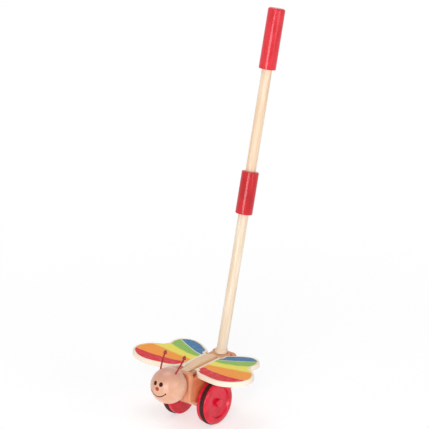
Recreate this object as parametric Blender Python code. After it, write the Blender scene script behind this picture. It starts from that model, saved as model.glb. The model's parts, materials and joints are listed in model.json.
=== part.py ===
"""Wooden butterfly push toy: a ball head, a block body, two flapping plywood wings, two wheels and a stick.

Metres, +Z up. The toy faces -Y, so its own left side is +X. The origin is on the floor, under the
middle of the whole toy. Every piece hangs from an empty on the wheel axle, and the lengths below
are measured from that axle unless they say otherwise.
"""
import math

import bmesh
import bpy
from mathutils import Vector

# Clearances and edges
FIT = 0.0003
OVERRUN = 0.004
WOOD_EDGE = 0.0012
TURNED_EDGE = 0.0015

# Wheels, from the body outwards
AXLE_RADIUS = 0.003
WASHER_RADIUS = 0.007
WASHER_THICKNESS = 0.0025
RIM_RADIUS = 0.031
RIM_EASE = 0.001
INNER_LAND = 0.0054
OUTER_LAND = 0.0008
SHOULDER_DEPTH = 0.0036
SHOULDER_INSET = 0.0065
DISH_RADIUS = 0.0225
DISH_SLOPE = 0.003
DISH_DEPTH = 0.0012
TYRE_WIDTH = 0.006
TYRE_PROUD = 0.001
TYRE_EASE = 0.0008
GROOVE_DEPTH = 0.002
CAP_RADIUS = 0.006
CAP_HEIGHT = 0.0035
CAP_GRIP = 0.0016

# Body blocks
BODY_WIDTH = 0.040
SPINE_WIDTH = 0.013
BODY_FRONT = 0.032
BODY_REAR = 0.0357
WING_OVER_TYRE = 0.010
CROWN_RISE = 0.0112
CHIN_HEIGHT = 0.0063
THROAT_FRONT = 0.0243
THROAT_HEIGHT = 0.0033
BELLY_FRONT = 0.0123
BELLY_REAR = 0.0257
BELLY_DEPTH = 0.0087
TAIL_DEPTH = 0.0007
STICK_BLOCK_LENGTH = 0.0211
COLUMN_WALL = 0.0015
FRONT_PLATE_THICKNESS = 0.0091
FRONT_PLATE_BOTTOM = 0.008
FRONT_PLATE_COVER = 0.0036
FRONT_PLATE_CORNER = 0.006
REAR_PLATE_THICKNESS = 0.0069
REAR_PLATE_COVER = 0.00095
REAR_PLATE_CORNER = 0.006

# Glue dowels of the body
DOWEL_RADIUS = 0.003
DOWEL_GRIP = 0.006
DOWEL_SPREAD = 0.0134
DOWEL_HEIGHT = 0.027
CROSS_DOWEL_HEIGHT = 0.015
CROSS_DOWEL_FRONT = 0.021
CROSS_DOWEL_REAR = 0.020
CROSS_DOWEL_GRIP = 0.009

# Ball head
BALL_RADIUS = 0.025
BALL_PLANED = 0.0049
HEAD_HEIGHT = 0.0371
HEAD_DOWEL_RADIUS = 0.004
HEAD_DOWEL_IN_BALL = 0.014
HEAD_DOWEL_IN_SPINE = 0.008

# Antennae: where each stalk leaves the ball, and its tip from the ball's centre
STALK_RADIUS = 0.001
STALK_SEAT = 0.004
STALK_BOW = 0.0012
STALK_TIP_OUT = 0.0166
STALK_TIP_BACK = 0.012
STALK_TIP_UP = 0.038
BEAD_RADIUS = 0.0026
BEAD_LENGTH = 0.0065
BEAD_GRIP = 0.0025

# Wings, measured out from the hinge and along from the axle
WING_THICKNESS = 0.007
WING_REACH = 0.0882
WING_FORE = 0.0377
WING_AFT = 0.0597
WING_ROOT_FRONT = 0.018
WING_ROOT_REAR = 0.0352
WING_EDGE = 0.0016
HINGE_ROD_RADIUS = 0.00125
HINGE_ROD_SEAT = 0.005
SPACER_RADIUS = 0.0026

# Stick, measured along its axis from the deck
STICK_RADIUS = 0.00725
STICK_INSET = 0.0102
STICK_SOCKET = 0.028
LOWER_REACH = 0.1965
SLEEVE_LENGTH = 0.060
SLEEVE_RADIUS = 0.012
SLEEVE_MIDDLE_GAP = 0.002
UPPER_REACH = 0.143
GRIP_LENGTH = 0.085
GRIP_RADIUS = 0.012
GRIP_SOCKET = 0.060
GRIP_TOP_ROUND = 0.003
COLLAR_WALL = 0.0012
COLLAR_HEIGHT = 0.0055

# Angles
STICK_LEAN = math.radians(15)
WING_DIHEDRAL = math.radians(3.3)

# Facets
LARGE_SIDES = 40
STICK_SIDES = 24
SMALL_SIDES = 16
PIN_SIDES = 12

# Hand-chosen shares of the sizes above
WING_FORE_SHARES = (
    (0.075, -0.63), (0.115, -0.70), (0.17, -0.775), (0.26, -0.84), (0.36, -0.90), (0.46, -0.96), (0.59, -1.00),
    (0.73, -0.955), (0.86, -0.81), (0.965, -0.57), (1.00, -0.21), (0.94, 0.10), (0.83, 0.265), (0.74, 0.345),
    (0.68, 0.49),
)
WING_HIND_SHARES = (
    (0.68, 0.49), (0.70, 0.645), (0.665, 0.83), (0.575, 0.945), (0.465, 1.00), (0.355, 0.98),
    (0.255, 0.93), (0.165, 0.855), (0.095, 0.79), (0.052, 0.735),
)
CROWN_SHARES = ((0.0, 0.60), (0.24, 0.67), (0.48, 1.0), (0.73, 0.93), (0.96, 0.83), (1.0, 0.68))
STALK_SEAT_SHARES = (0.52, -0.03, 0.83)
BEAD_SHARES = ((0.55, 0.0), (0.92, 0.16), (1.0, 0.34), (0.86, 0.56), (0.50, 0.82), (0.0, 1.0))

# Sizes that follow
TYRE_RADIUS = RIM_RADIUS + TYRE_PROUD
HALF_BODY = BODY_WIDTH / 2
HALF_SPINE = SPINE_WIDTH / 2
KNUCKLE_RADIUS = WING_THICKNESS / 2
WHEEL_INNER = HALF_BODY + FIT + WASHER_THICKNESS + FIT
GROOVE_WIDTH = TYRE_WIDTH + 2 * FIT
WHEEL_WIDTH = INNER_LAND + GROOVE_WIDTH + OUTER_LAND + SHOULDER_DEPTH
WHEEL_FACE = WHEEL_INNER + WHEEL_WIDTH - DISH_DEPTH
SHELF_HEIGHT = TYRE_RADIUS + WING_OVER_TYRE
HINGE_HEIGHT = SHELF_HEIGHT + FIT + KNUCKLE_RADIUS
HALF_COLUMN = STICK_RADIUS + FIT + COLUMN_WALL
HINGE_OUT = HALF_COLUMN + FIT + SPACER_RADIUS
ROD_BORE = HINGE_ROD_RADIUS + FIT
DECK_HEIGHT = HINGE_HEIGHT + ROD_BORE + REAR_PLATE_COVER
FRONT_PLATE_TOP = HINGE_HEIGHT + ROD_BORE + FRONT_PLATE_COVER
FRONT_PLATE_BACK = -BODY_FRONT - FIT
FRONT_PLATE_FACE = FRONT_PLATE_BACK - FRONT_PLATE_THICKNESS
BALL_FLAT = FRONT_PLATE_FACE - FIT
BALL_CENTRE = Vector((0, BALL_FLAT - (BALL_RADIUS - BALL_PLANED), HEAD_HEIGHT))
BLOCK_FRONT = BODY_REAR + FIT
BLOCK_REAR = BLOCK_FRONT + STICK_BLOCK_LENGTH
REAR_PLATE_FRONT = BLOCK_REAR + FIT
REAR_PLATE_BACK = REAR_PLATE_FRONT + REAR_PLATE_THICKNESS
STICK_BORE = STICK_RADIUS + FIT
STICK_LENGTH = LOWER_REACH + SLEEVE_LENGTH + UPPER_REACH + GRIP_LENGTH
STICK_BASE = Vector((0, REAR_PLATE_BACK - STICK_INSET, DECK_HEIGHT))
REACH_FRONT = BALL_CENTRE.y - BALL_RADIUS
REACH_REAR = (
    STICK_BASE.y
    + (STICK_LENGTH - GRIP_TOP_ROUND) * math.sin(STICK_LEAN)
    + (GRIP_RADIUS - GRIP_TOP_ROUND) * math.cos(STICK_LEAN)
    + GRIP_TOP_ROUND
)
AXLE_PLACE = Vector((0, -(REACH_FRONT + REACH_REAR) / 2, TYRE_RADIUS))

ACROSS = Vector((1, 0, 0))
ALONG = Vector((0, 1, 0))
UP = Vector((0, 0, 1))
HERE = Vector((0, 0, 0))
SIDES = (("left", 1), ("right", -1))

# Base colour (linear), roughness and metallic
FINISHES = {
    "beech": ((0.80, 0.55, 0.34, 1), 0.5, 0),
    "ball_beech": ((0.86, 0.58, 0.40, 1), 0.45, 0),
    "birch_ply": ((0.88, 0.74, 0.52, 1), 0.5, 0),
    "stick_beech": ((0.88, 0.71, 0.50, 1), 0.5, 0),
    "red_lacquer": ((0.72, 0.045, 0.06, 1), 0.25, 0),
    "orange_lacquer": ((0.60, 0.12, 0.05, 1), 0.3, 0),
    "rubber": ((0.03, 0.022, 0.02, 1), 0.7, 0),
    "steel": ((0.55, 0.56, 0.57, 1), 0.3, 1),
    "nylon": ((0.85, 0.84, 0.80, 1), 0.4, 0),
}


def clear_scene():
    """Remove what the scene holds."""
    for thing in list(bpy.data.objects):
        bpy.data.objects.remove(thing, do_unlink=True)


def make_material(name):
    """Give the Principled material of one finish, made once."""
    if name in bpy.data.materials:
        return bpy.data.materials[name]
    colour, roughness, metallic = FINISHES[name]
    material = bpy.data.materials.new(name)
    material.use_nodes = True
    shader = material.node_tree.nodes["Principled BSDF"]
    shader.inputs["Base Color"].default_value = colour
    shader.inputs["Roughness"].default_value = roughness
    shader.inputs["Metallic"].default_value = metallic
    return material


def add_piece(name, shape, finish, place=HERE, facing=UP, parent=None):
    """Turn a bmesh into a named object whose local Z points along facing."""
    bmesh.ops.recalc_face_normals(shape, faces=shape.faces)
    mesh = bpy.data.meshes.new(name)
    shape.to_mesh(mesh)
    shape.free()
    mesh.shade_smooth()
    mesh.set_sharp_from_angle(angle=math.radians(40))
    mesh.materials.append(make_material(finish))
    piece = bpy.data.objects.new(name, mesh)
    bpy.context.scene.collection.objects.link(piece)
    piece.parent = parent or bpy.data.objects["axle_frame"]
    piece.location = place
    piece.rotation_euler = UP.rotation_difference(facing).to_euler()
    return piece


def add_empty(name, place, rotation=(0, 0, 0), parent=None):
    """Add an empty that other pieces hang from."""
    empty = bpy.data.objects.new(name, None)
    bpy.context.scene.collection.objects.link(empty)
    empty.parent = parent
    empty.location = place
    empty.rotation_euler = rotation
    return empty


def as_cutter(piece):
    """Mark a piece as a tool that only cuts others."""
    piece.hide_render = True
    piece.display_type = "WIRE"
    return piece


def cut(pieces, cutter):
    """Take the cutter out of each piece."""
    for piece in pieces:
        boolean = piece.modifiers.new(cutter.name, "BOOLEAN")
        boolean.operation = "DIFFERENCE"
        boolean.solver = "EXACT"
        boolean.object = cutter


def soften(piece, width):
    """Round the sharp edges of a sawn piece."""
    bevel = piece.modifiers.new("eased_edges", "BEVEL")
    bevel.width = width
    bevel.segments = 2
    bevel.limit_method = "ANGLE"
    bevel.angle_limit = math.radians(40)


def turn(profile, sides, ring=False):
    """Turn (radius, height) points about Z; a ring profile closes on itself, round a bore."""
    shape = bmesh.new()
    loops = []
    for radius, height in profile:
        count = sides if radius else 1
        angles = [2 * math.pi * step / sides for step in range(count)]
        loops.append([
            shape.verts.new((radius * math.cos(angle), radius * math.sin(angle), height))
            for angle in angles
        ])
    neighbours = list(zip(loops, loops[1:]))
    if ring:
        neighbours.append((loops[-1], loops[0]))
    for low, high in neighbours:
        for step in range(sides):
            after = (step + 1) % sides
            if len(low) == 1:
                shape.faces.new((low[0], high[after], high[step]))
            elif len(high) == 1:
                shape.faces.new((low[step], low[after], high[0]))
            else:
                shape.faces.new((low[step], low[after], high[after], high[step]))
    return shape


def round_corner(centre, radius, start, steps, reach=90):
    """Points of a round corner about a centre, from a start angle in degrees."""
    return [
        (
            centre[0] + radius * math.cos(math.radians(start + reach * step / steps)),
            centre[1] + radius * math.sin(math.radians(start + reach * step / steps)),
        )
        for step in range(steps + 1)
    ]


def rod(radius, start, end, sides):
    """A plain round bar between two heights."""
    return turn([(0, start), (radius, start), (radius, end), (0, end)], sides)


def tube(inner, outer, start, end, ease, sides):
    """A bushing with eased outer edges and a bore right through."""
    outline = [(inner, start)]
    outline += round_corner((outer - ease, start + ease), ease, -90, 2)
    outline += round_corner((outer - ease, end - ease), ease, 0, 2)
    outline += [(inner, end)]
    return turn(outline, sides, ring=True)


def extrude_outline(outline, start, end, place_point):
    """A slab with flat ends; place_point turns (first, second, depth) into a position."""
    shape = bmesh.new()
    near = [shape.verts.new(place_point(first, second, start)) for first, second in outline]
    far = [shape.verts.new(place_point(first, second, end)) for first, second in outline]
    shape.faces.new(near)
    shape.faces.new(list(reversed(far)))
    for step in range(len(outline)):
        after = (step + 1) % len(outline)
        shape.faces.new((near[step], far[step], far[after], near[after]))
    return shape


def across_x(along, height, depth):
    """A side outline, extruded across the toy."""
    return (depth, along, height)


def along_y(across, height, depth):
    """A front outline, extruded along the toy."""
    return (across, depth, height)


def smooth_path(points, steps):
    """A smooth curve through the points, with the given steps between each pair."""
    padded = [points[0]] + list(points) + [points[-1]]
    path = []
    for before, start, end, after in zip(padded, padded[1:], padded[2:], padded[3:]):
        for step in range(steps):
            share = step / steps
            path.append(tuple(
                0.5 * (
                    2 * b
                    + (c - a) * share
                    + (2 * a - 5 * b + 4 * c - d) * share ** 2
                    + (3 * b - a - 3 * c + d) * share ** 3
                )
                for a, b, c, d in zip(before, start, end, after)
            ))
    path.append(tuple(points[-1]))
    return path


def underside():
    """Underside of the body from tail to chin, as (along, height)."""
    return [
        (BODY_REAR, -TAIL_DEPTH),
        (BELLY_REAR, -BELLY_DEPTH),
        (-BELLY_FRONT, -BELLY_DEPTH),
        (-THROAT_FRONT, THROAT_HEIGHT),
        (-BODY_FRONT, CHIN_HEIGHT),
    ]


def make_body():
    """The glued block body: spine, side blocks, stick block and end plates."""
    length = BODY_FRONT + BODY_REAR
    crown = smooth_path(
        [(along * length - BODY_FRONT, SHELF_HEIGHT + rise * CROWN_RISE) for along, rise in CROWN_SHARES], 3)
    shape = extrude_outline(underside() + crown, -HALF_SPINE, HALF_SPINE, across_x)
    spine = add_piece("spine", shape, "beech")

    side_outline = underside() + [(-BODY_FRONT, SHELF_HEIGHT), (BODY_REAR, SHELF_HEIGHT)]
    side_blocks = []
    for side, sign in SIDES:
        inner, outer = sign * (HALF_SPINE + FIT), sign * HALF_BODY
        shape = extrude_outline(side_outline, inner, outer, across_x)
        side_blocks.append(add_piece("side_block_" + side, shape, "beech"))

    block_outline = [
        (-HALF_BODY, -TAIL_DEPTH), (HALF_BODY, -TAIL_DEPTH), (HALF_BODY, SHELF_HEIGHT),
        (HALF_COLUMN, SHELF_HEIGHT), (HALF_COLUMN, DECK_HEIGHT), (-HALF_COLUMN, DECK_HEIGHT),
        (-HALF_COLUMN, SHELF_HEIGHT), (-HALF_BODY, SHELF_HEIGHT),
    ]
    shape = extrude_outline(block_outline, BLOCK_FRONT, BLOCK_REAR, along_y)
    stick_block = add_piece("stick_block", shape, "beech")

    front_plate = make_end_plate(
        "front_plate", FRONT_PLATE_FACE, FRONT_PLATE_BACK, FRONT_PLATE_BOTTOM, FRONT_PLATE_TOP,
        FRONT_PLATE_CORNER)
    rear_plate = make_end_plate(
        "rear_plate", REAR_PLATE_FRONT, REAR_PLATE_BACK, -TAIL_DEPTH, DECK_HEIGHT, REAR_PLATE_CORNER)

    for piece in (spine, *side_blocks, stick_block, front_plate, rear_plate):
        soften(piece, WOOD_EDGE)
    return spine, side_blocks, stick_block, front_plate, rear_plate


def make_end_plate(name, front, back, bottom, top, corner):
    """A plate across one end of the body, with its top corners rounded."""
    outline = [(-HALF_BODY, bottom), (HALF_BODY, bottom)]
    outline += round_corner((HALF_BODY - corner, top - corner), corner, 0, 4)
    outline += round_corner((corner - HALF_BODY, top - corner), corner, 90, 4)
    return add_piece(name, extrude_outline(outline, front, back, along_y), "beech")


def make_dowel(name, radius, start, end, pieces, finish="beech"):
    """A round pin between two points, with its bore cut in the pieces that it joins."""
    axis = (end - start).normalized()
    length = (end - start).length
    pin = add_piece(name, rod(radius, 0, length, PIN_SIDES), finish, start, axis)
    bore = rod(radius + FIT, -FIT, length + FIT, PIN_SIDES)
    cut(pieces, as_cutter(add_piece("bore_for_" + name, bore, finish, start, axis)))
    return pin


def make_body_dowels(spine, side_blocks, stick_block, front_plate, rear_plate):
    """The hidden dowels that line the glued blocks up."""
    reach = HALF_SPINE + FIT + CROSS_DOWEL_GRIP
    for name, along in (("front", -CROSS_DOWEL_FRONT), ("rear", CROSS_DOWEL_REAR)):
        middle = Vector((0, along, CROSS_DOWEL_HEIGHT))
        make_dowel(
            "cross_dowel_" + name, DOWEL_RADIUS, middle - reach * ACROSS, middle + reach * ACROSS,
            [spine, *side_blocks])
    for (side, sign), side_block in zip(SIDES, side_blocks):
        out = sign * DOWEL_SPREAD
        make_dowel(
            "front_dowel_" + side, DOWEL_RADIUS,
            Vector((out, FRONT_PLATE_BACK - DOWEL_GRIP, DOWEL_HEIGHT)),
            Vector((out, DOWEL_GRIP - BODY_FRONT, DOWEL_HEIGHT)), [front_plate, side_block])
        make_dowel(
            "rear_dowel_" + side, DOWEL_RADIUS,
            Vector((out, BODY_REAR - DOWEL_GRIP, DOWEL_HEIGHT)),
            Vector((out, REAR_PLATE_FRONT + REAR_PLATE_THICKNESS / 2, DOWEL_HEIGHT)),
            [rear_plate, stick_block, side_block])


def make_head(spine, front_plate):
    """The ball head, planed flat at the back and held by one dowel."""
    flat = BALL_RADIUS - BALL_PLANED
    flat_angle = math.acos(flat / BALL_RADIUS)
    bands = 14
    profile = [(0, -BALL_RADIUS)]
    for band in range(1, bands + 1):
        angle = (math.pi - flat_angle) * band / bands
        profile.append((BALL_RADIUS * math.sin(angle), -BALL_RADIUS * math.cos(angle)))
    bore = HEAD_DOWEL_RADIUS + FIT
    bore_end = flat - HEAD_DOWEL_IN_BALL - FIT
    profile += [(bore, flat), (bore, bore_end), (0, bore_end)]
    head = add_piece("head", turn(profile, STICK_SIDES + PIN_SIDES), "ball_beech", BALL_CENTRE, ALONG)

    start = Vector((0, BALL_FLAT - HEAD_DOWEL_IN_BALL, HEAD_HEIGHT))
    end = Vector((0, HEAD_DOWEL_IN_SPINE - BODY_FRONT, HEAD_HEIGHT))
    make_dowel("head_dowel", HEAD_DOWEL_RADIUS, start, end, [front_plate, spine])
    return head


def make_antenna(head, side, sign):
    """One bowed stalk let into the ball, with a drop-shaped bead on its tip."""
    seat_out, seat_back, seat_up = STALK_SEAT_SHARES
    seat_direction = Vector((sign * seat_out, seat_back, seat_up)).normalized()
    seat = BALL_CENTRE + BALL_RADIUS * seat_direction
    tip = BALL_CENTRE + Vector((sign * STALK_TIP_OUT, STALK_TIP_BACK, STALK_TIP_UP))
    bend = (seat + tip) / 2 + sign * STALK_BOW * ACROSS
    leaving = (bend - seat).normalized()
    arriving = (tip - bend).normalized()

    route = [seat - STALK_SEAT * leaving]
    steps = 6
    for step in range(steps + 1):
        share = step / steps
        route.append((1 - share) ** 2 * seat + 2 * share * (1 - share) * bend + share ** 2 * tip)
    route.append(tip + BEAD_GRIP * arriving)
    curve = bpy.data.curves.new("antenna_stalk_" + side, "CURVE")
    curve.dimensions = "3D"
    curve.bevel_depth = STALK_RADIUS
    curve.bevel_resolution = 2
    curve.use_fill_caps = True
    spline = curve.splines.new("POLY")
    spline.points.add(len(route) - 1)
    for point, place in zip(spline.points, route):
        point.co = (*place, 1)
    curve.materials.append(make_material("red_lacquer"))
    stalk = bpy.data.objects.new("antenna_stalk_" + side, curve)
    bpy.context.scene.collection.objects.link(stalk)
    stalk.parent = head.parent

    bore = STALK_RADIUS + FIT
    socket = rod(bore, -STALK_SEAT - FIT, OVERRUN, PIN_SIDES)
    cut([head], as_cutter(add_piece("socket_for_stalk_" + side, socket, "red_lacquer", seat, leaving)))

    profile = [(0, BEAD_GRIP + FIT), (bore, BEAD_GRIP + FIT), (bore, 0)]
    profile += [(wide * BEAD_RADIUS, high * BEAD_LENGTH) for wide, high in BEAD_SHARES]
    add_piece("antenna_bead_" + side, turn(profile, SMALL_SIDES), "orange_lacquer", tip, arriving)


def make_wheel(side, sign):
    """One wheel with its rubber tyre, washer and hub cap, laid out from the body outwards."""
    outward = sign * ACROSS
    groove_start = INNER_LAND
    groove_end = groove_start + GROOVE_WIDTH
    groove_floor = RIM_RADIUS - GROOVE_DEPTH
    shoulder_start = groove_end + OUTER_LAND
    bore = AXLE_RADIUS + FIT
    profile = [(bore, 0)]
    profile += round_corner((RIM_RADIUS - RIM_EASE, RIM_EASE), RIM_EASE, -90, 2)
    profile += [
        (RIM_RADIUS, groove_start), (groove_floor, groove_start),
        (groove_floor, groove_end), (RIM_RADIUS, groove_end),
    ]
    steps = 6
    for step in range(steps + 1):
        angle = math.radians(90) * step / steps
        profile.append((
            RIM_RADIUS - SHOULDER_INSET * (1 - math.cos(angle)),
            shoulder_start + SHOULDER_DEPTH * math.sin(angle),
        ))
    dish_floor = WHEEL_WIDTH - DISH_DEPTH
    profile += [(DISH_RADIUS, WHEEL_WIDTH), (DISH_RADIUS - DISH_SLOPE, dish_floor), (bore, dish_floor)]
    add_piece("wheel_" + side, turn(profile, LARGE_SIDES, ring=True), "red_lacquer",
              WHEEL_INNER * outward, outward)

    tyre_start = groove_start + FIT
    shape = tube(groove_floor + FIT, TYRE_RADIUS, tyre_start, tyre_start + TYRE_WIDTH, TYRE_EASE, LARGE_SIDES)
    add_piece("tyre_" + side, shape, "rubber", WHEEL_INNER * outward, outward)

    shape = turn(
        [(bore, 0), (WASHER_RADIUS, 0), (WASHER_RADIUS, WASHER_THICKNESS), (bore, WASHER_THICKNESS)],
        STICK_SIDES, ring=True)
    add_piece("axle_washer_" + side, shape, "nylon", (HALF_BODY + FIT) * outward, outward)

    rim = CAP_HEIGHT / 3
    profile = [(0, CAP_GRIP + FIT), (bore, CAP_GRIP + FIT), (bore, 0), (CAP_RADIUS, 0)]
    for step in range(5):
        angle = math.radians(90) * step / 5
        profile.append((CAP_RADIUS * math.cos(angle), rim + (CAP_HEIGHT - rim) * math.sin(angle)))
    profile.append((0, CAP_HEIGHT))
    add_piece("axle_cap_" + side, turn(profile, SMALL_SIDES), "red_lacquer",
              (WHEEL_FACE + FIT) * outward, outward)


def make_axle(spine, side_blocks):
    """The fixed steel axle, with the bore that holds it in the body."""
    reach = WHEEL_FACE + FIT + CAP_GRIP
    make_dowel("axle", AXLE_RADIUS, -reach * ACROSS, reach * ACROSS, [spine, *side_blocks], "steel")


def inset_outline(points, amount):
    """Move each point of an open outline to its right, square to the chord of its neighbours."""
    moved = []
    for step, point in enumerate(points):
        before = points[max(step - 1, 0)]
        after = points[min(step + 1, len(points) - 1)]
        chord = Vector((after[0] - before[0], after[1] - before[1])).normalized()
        moved.append((point[0] - amount * chord.y, point[1] + amount * chord.x))
    return moved


def wing_outline():
    """Edge of the wing from the front of its root round to the rear, as (out, along)."""
    def place(shares):
        return [
            (out * WING_REACH, along * (WING_FORE if along < 0 else WING_AFT)) for out, along in shares
        ]
    root = KNUCKLE_RADIUS + FIT
    fore = smooth_path([(root, -WING_ROOT_FRONT)] + place(WING_FORE_SHARES), 2)
    hind = smooth_path(place(WING_HIND_SHARES) + [(root, WING_ROOT_REAR)], 2)
    return fore[1:-1] + hind[:-1]


def wing_mesh(sign):
    """A plywood wing with a fully round root, which is its own hinge knuckle."""
    root = KNUCKLE_RADIUS + FIT
    edge_start = KNUCKLE_RADIUS - WING_EDGE
    heights = [KNUCKLE_RADIUS * math.sin(math.radians(angle)) for angle in (-90, -60, -33, 0, 33, 60, 90)]
    shape = bmesh.new()
    loops = []
    for height in heights:
        past = max(abs(height) - edge_start, 0)
        ease = WING_EDGE - math.sqrt(max(WING_EDGE ** 2 - past ** 2, 0))
        inner = -math.sqrt(max(KNUCKLE_RADIUS ** 2 - height ** 2, 0))
        front, rear = ease - WING_ROOT_FRONT, WING_ROOT_REAR - ease
        outline = [(inner, front), (root, front)]
        outline += inset_outline(wing_outline(), ease)
        outline += [(root, rear), (inner, rear)]
        loops.append([shape.verts.new((sign * out, along, height)) for out, along in outline])
    shape.faces.new(loops[0])
    shape.faces.new(list(reversed(loops[-1])))
    for low, high in zip(loops, loops[1:]):
        for step in range(len(low)):
            after = (step + 1) % len(low)
            shape.faces.new((low[step], high[step], high[after], low[after]))
    return shape


def make_wing(side, sign, front_plate, rear_plate):
    """One wing on its steel hinge rod, kept in place along the rod by two spacers."""
    hinge = Vector((sign * HINGE_OUT, 0, HINGE_HEIGHT))
    rod_front = FRONT_PLATE_BACK - HINGE_ROD_SEAT
    rod_rear = REAR_PLATE_FRONT + HINGE_ROD_SEAT
    wing = add_piece("wing_" + side, wing_mesh(sign), "birch_ply", hinge)
    wing.rotation_euler = (0, -sign * WING_DIHEDRAL, 0)
    make_dowel(
        "hinge_rod_" + side, HINGE_ROD_RADIUS, hinge + rod_front * ALONG, hinge + rod_rear * ALONG,
        [front_plate, rear_plate, wing], "steel")

    spans = (
        ("front", "rubber", FRONT_PLATE_BACK + FIT, -WING_ROOT_FRONT - FIT),
        ("rear", "beech", WING_ROOT_REAR + FIT, REAR_PLATE_FRONT - FIT),
    )
    for name, finish, start, end in spans:
        shape = turn(
            [(ROD_BORE, 0), (SPACER_RADIUS, 0), (SPACER_RADIUS, end - start), (ROD_BORE, end - start)],
            SMALL_SIDES, ring=True)
        add_piece("hinge_spacer_" + name + "_" + side, shape, finish, hinge + start * ALONG, ALONG)


def make_stick(stick_block, rear_plate):
    """The two-part stick with its collar, connector sleeve and grip."""
    stick = add_empty("stick_frame", STICK_BASE, (-STICK_LEAN, 0, 0), bpy.data.objects["axle_frame"])
    sleeve_start = LOWER_REACH
    sleeve_end = sleeve_start + SLEEVE_LENGTH
    sleeve_middle = sleeve_start + SLEEVE_LENGTH / 2
    grip_start = sleeve_end + UPPER_REACH

    lower = rod(STICK_RADIUS, -STICK_SOCKET, sleeve_middle - SLEEVE_MIDDLE_GAP / 2, STICK_SIDES)
    add_piece("lower_rod", lower, "stick_beech", parent=stick)
    upper = rod(STICK_RADIUS, sleeve_middle + SLEEVE_MIDDLE_GAP / 2, grip_start + GRIP_SOCKET, STICK_SIDES)
    add_piece("upper_rod", upper, "stick_beech", parent=stick)
    sleeve = tube(STICK_BORE, SLEEVE_RADIUS, sleeve_start, sleeve_end, TURNED_EDGE, STICK_SIDES)
    add_piece("connector_sleeve", sleeve, "red_lacquer", parent=stick)

    socket_end = grip_start + GRIP_SOCKET + FIT
    profile = [(0, socket_end), (STICK_BORE, socket_end), (STICK_BORE, grip_start)]
    profile += round_corner((GRIP_RADIUS - TURNED_EDGE, grip_start + TURNED_EDGE), TURNED_EDGE, -90, 2)
    profile += round_corner((GRIP_RADIUS - GRIP_TOP_ROUND, STICK_LENGTH - GRIP_TOP_ROUND), GRIP_TOP_ROUND, 0, 4)
    profile.append((0, STICK_LENGTH))
    add_piece("grip", turn(profile, STICK_SIDES), "red_lacquer", parent=stick)

    bore = rod(STICK_BORE, -STICK_SOCKET - FIT, OVERRUN, STICK_SIDES)
    cut([stick_block, rear_plate],
        as_cutter(add_piece("bore_for_stick", bore, "stick_beech", parent=stick)))
    make_collar(stick)


def make_collar(stick):
    """A thin ring round the foot of the stick, sawn level where it sits on the deck."""
    outer = STICK_BORE + COLLAR_WALL
    dip = outer * math.tan(STICK_LEAN)
    shape = turn(
        [(STICK_BORE, -dip), (outer, -dip), (outer, COLLAR_HEIGHT), (STICK_BORE, COLLAR_HEIGHT)],
        STICK_SIDES, ring=True)
    collar = add_piece("stick_collar", shape, "stick_beech", parent=stick)
    size = outer + OVERRUN
    saw = extrude_outline([(-size, -size), (size, -size), (size, FIT), (-size, FIT)], -size, size, along_y)
    cut([collar], as_cutter(add_piece("deck_saw", saw, "stick_beech", STICK_BASE)))


def main():
    """Build every piece of the toy."""
    clear_scene()
    add_empty("axle_frame", AXLE_PLACE)
    spine, side_blocks, stick_block, front_plate, rear_plate = make_body()
    make_body_dowels(spine, side_blocks, stick_block, front_plate, rear_plate)
    head = make_head(spine, front_plate)
    make_axle(spine, side_blocks)
    for side, sign in SIDES:
        make_antenna(head, side, sign)
        make_wheel(side, sign)
        make_wing(side, sign, front_plate, rear_plate)
    make_stick(stick_block, rear_plate)


main()
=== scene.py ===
"""Looks of a wooden butterfly push toy: beech blocks, painted plywood wings, lacquered wheels and grip.

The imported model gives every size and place. Each sub-assembly is a class that reads its own nodes,
turns or copies them into finer meshes, and dresses them in the finishes below.
"""
from __future__ import annotations

import json
import logging
import math
from dataclasses import dataclass, field
from enum import Enum, IntEnum
from typing import Iterable, Optional, Sequence, Union

import bmesh
import bpy
from mathutils import Euler, Matrix, Vector

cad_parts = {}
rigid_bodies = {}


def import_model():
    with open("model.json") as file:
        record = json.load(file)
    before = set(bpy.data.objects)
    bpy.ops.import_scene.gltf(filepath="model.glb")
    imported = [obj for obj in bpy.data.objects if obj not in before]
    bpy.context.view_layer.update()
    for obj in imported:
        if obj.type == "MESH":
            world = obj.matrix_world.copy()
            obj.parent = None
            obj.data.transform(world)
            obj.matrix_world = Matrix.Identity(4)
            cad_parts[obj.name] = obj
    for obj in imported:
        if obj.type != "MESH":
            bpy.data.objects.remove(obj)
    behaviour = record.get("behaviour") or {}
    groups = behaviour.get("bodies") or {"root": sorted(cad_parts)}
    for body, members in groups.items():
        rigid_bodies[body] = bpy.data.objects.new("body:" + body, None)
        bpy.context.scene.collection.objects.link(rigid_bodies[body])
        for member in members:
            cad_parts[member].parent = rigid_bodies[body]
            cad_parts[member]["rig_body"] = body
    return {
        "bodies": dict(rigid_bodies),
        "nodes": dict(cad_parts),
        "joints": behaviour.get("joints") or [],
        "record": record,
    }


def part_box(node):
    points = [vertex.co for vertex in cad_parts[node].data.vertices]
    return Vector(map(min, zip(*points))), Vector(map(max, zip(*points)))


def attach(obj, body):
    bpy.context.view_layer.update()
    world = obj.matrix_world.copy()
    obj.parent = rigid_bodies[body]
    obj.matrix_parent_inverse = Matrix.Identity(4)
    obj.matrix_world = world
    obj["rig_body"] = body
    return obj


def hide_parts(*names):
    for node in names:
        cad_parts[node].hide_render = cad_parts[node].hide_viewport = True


LOG = logging.getLogger("push_toy")
MM = 0.001
SIDES = (("left", 1), ("right", -1))
ACROSS = Vector((1, 0, 0))
ALONG = Vector((0, 1, 0))
UP = Vector((0, 0, 1))
IN_PLACE = Matrix.Identity(4)
MERGE_DISTANCE = 0.005 * MM
SMALL_EASE_STEPS = 3
BIG_EASE_STEPS = 6
WHITE = (1.0, 1.0, 1.0, 1.0)

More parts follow.
